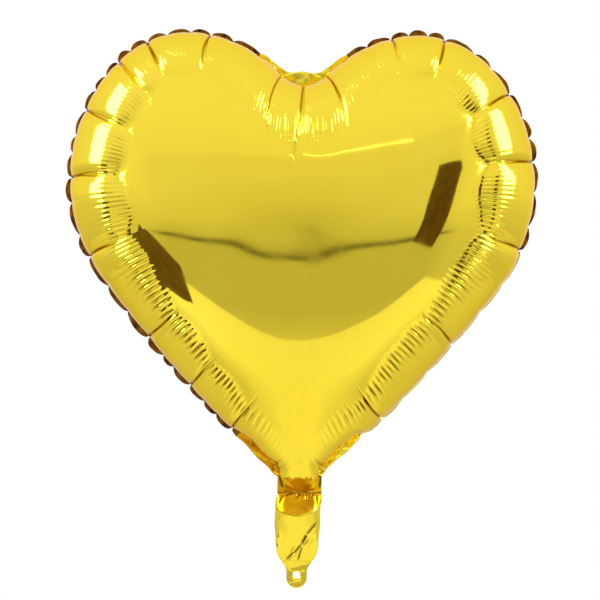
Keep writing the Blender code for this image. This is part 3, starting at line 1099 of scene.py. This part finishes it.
def make_world():
    """A plain bright studio: white behind the balloon, and a soft wall and ceiling before it."""
    world = bpy.data.worlds.new("studio")
    bpy.context.scene.world = world
    world.use_nodes = True
    nodes, links = world.node_tree.nodes, world.node_tree.links
    place = nodes.new("ShaderNodeTexCoord")
    split = nodes.new("ShaderNodeSeparateXYZ")
    links.new(place.outputs["Generated"], split.inputs["Vector"])
    x, y, z = (split.outputs[axis] for axis in "XYZ")
    square = math_node(nodes, links, "MULTIPLY", x, x)
    aside = math_node(nodes, links, "SQRT", math_node(nodes, links, "ADD", square, 0.006))
    level = band_level(nodes, links, x, z, aside)
    mix = nodes.new("ShaderNodeMix")
    mix.data_type = "RGBA"
    behind = map_node(nodes, links, y, -0.05, 0.20)
    beside = map_node(nodes, links, aside, 0.62, 0.78)
    links.new(math_node(nodes, links, "MAXIMUM", behind, beside), mix.inputs["Factor"])
    links.new(band_ramp(nodes, links, level, ROOM_BANDS), mix.inputs["A"])
    links.new(band_ramp(nodes, links, z, BACK_BANDS), mix.inputs["B"])
    # What shows behind the balloon is plain white from every side.
    path = nodes.new("ShaderNodeLightPath")
    backdrop = nodes.new("ShaderNodeMix")
    backdrop.data_type = "RGBA"
    links.new(path.outputs["Is Camera Ray"], backdrop.inputs["Factor"])
    links.new(mix.outputs["Result"], backdrop.inputs["A"])
    backdrop.inputs["B"].default_value = BACKDROP
    links.new(backdrop.outputs["Result"], nodes["Background"].inputs["Color"])


def make_flag(name, corners):
    """A dark card of the studio, which only shows where the foil mirrors it."""
    mesh = bpy.data.meshes.new(name)
    mesh.from_pydata(corners, [], [(0, 1, 2, 3)])
    flag = bpy.data.objects.new(name, mesh)
    flag.visible_camera = False
    flag.visible_shadow = False
    flag.visible_diffuse = False
    bpy.context.scene.collection.objects.link(flag)
    material, nodes, links, shader = new_material(name)
    felt = noise_node(nodes, links, 14.0, 3.0)
    tint = ramp_between(nodes, links, felt.outputs["Fac"], CARD_DARK, CARD_LIGHT)
    links.new(tint, shader.inputs["Base Color"])
    shader.inputs["Roughness"].default_value = 0.9
    mesh.materials.append(material)


def make_light(name, place, aim, size, radiance, mirrored_only=False):
    """A rectangular softbox that faces aim, size wide and high. Some only show in what mirrors them."""
    lamp = bpy.data.lights.new(name, "AREA")
    lamp.shape = "RECTANGLE"
    lamp.size, lamp.size_y = size
    lamp.energy = radiance * math.pi * size[0] * size[1]
    made = bpy.data.objects.new(name, lamp)
    made.location = place
    made.rotation_euler = (Vector(aim) - Vector(place)).to_track_quat("-Z", "Y").to_euler()
    made.visible_diffuse = not mirrored_only
    made.visible_glossy = mirrored_only
    bpy.context.scene.collection.objects.link(made)


def make_camera():
    """Straight on from the front, with the slight lean the balloon has."""
    data = bpy.data.cameras.new("camera")
    camera = bpy.data.objects.new("camera", data)
    distance = 1.9
    frame_width = 0.483
    data.lens = data.sensor_width * distance / frame_width
    camera.location = (-0.0005, -distance, 0.2214)
    camera.rotation_euler = (math.pi / 2, math.radians(-0.85), 0)
    bpy.context.scene.collection.objects.link(camera)
    bpy.context.scene.camera = camera


# ---------------------------------------------------------------- build

SEAM_SEED = 21
PUFF = Puff()
PLACES, RIM_LENGTH = column_places(PUFF)
RIM_POINTS, RIM_NORMALS, _ = rim_at(PLACES)
RINGS = ring_plans(PUFF)

gold = foil_material("gold_foil", GOLD_LIGHT, GOLD_DEEP, 0.045, 0.08)
gold_back = foil_material("gold_foil_back", GOLD_LIGHT, GOLD_DEEP, 0.05, 0.09)
# The amber foil is a painted reflection of the heart's gold
painted_amber_reflection = foil_material("amber_painted_reflection", AMBER_REFLECTION_LIGHT, AMBER_REFLECTION_DEEP, 0.24, 0.36, 75.0)
brown_edge = edge_material("sealed_edge")
clear_film = clear_film_material("clear_film")

for word, side, seed, foil in (("front", -1, 21, gold), ("back", 1, 22, gold_back)):
    panel = make_panel(f"{word}_foil", side, seed, foil)
    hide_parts(f"{word}_panel")
    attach(panel, "envelope")

    tail = make_tail_film(f"tail_{word}_film", side, seed - 21, foil, painted_amber_reflection)
    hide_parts(f"tail_{word}_layer")
    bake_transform(tail)

    tab = make_tab_film(f"tab_{word}_film", side, seed - 21, foil)
    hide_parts(f"tab_{word}_layer")
    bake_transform(tab)

    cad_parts[f"valve_film_{word}"].material_slots[0].material = clear_film

seam = make_seam(brown_edge, gold, painted_amber_reflection)
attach(seam, "envelope")

make_floor()
make_world()
HEART_MIDDLE = (0, 0, 0.27)
make_light("fill_left", (-1.5, -0.30, 0.90), HEART_MIDDLE, (0.75, 1.25), 2.95)
make_light("fill_right", (1.5, -0.15, 0.95), HEART_MIDDLE, (0.80, 1.20), 2.95)
make_light("softbox_left", (-1.50, -0.40, 0.96), (-0.15, -0.05, 0.34), (0.80, 1.45), 8.5, True)
make_light("softbox_right", (1.48, -0.42, 1.07), (0.15, -0.05, 0.34), (0.80, 1.50), 8.5, True)
make_light("strip_right", (0.27, -1.40, 1.04), (0.05, 0, 0.35), (0.50, 0.014), 3.0, True)
make_light("strip_left", (-0.53, -0.28, 1.80), (-0.10, 0, 0.40), (0.55, 0.020), 2.5, True)
RIGHT_CARD = [(0.72, -1.42, 0.12), (0.98, -1.24, -0.04), (1.15, -1.10, 0.77), (0.86, -1.33, 0.72)]
LEFT_CARD = [(-0.66, -0.60, -0.245), (-0.96, -0.26, -0.245), (-1.12, -0.70, 0.09), (-0.78, -0.92, -0.10)]
make_flag("flag_right", RIGHT_CARD)
make_flag("flag_left", LEFT_CARD)
make_camera()
bpy.context.scene.view_settings.view_transform = "Standard"
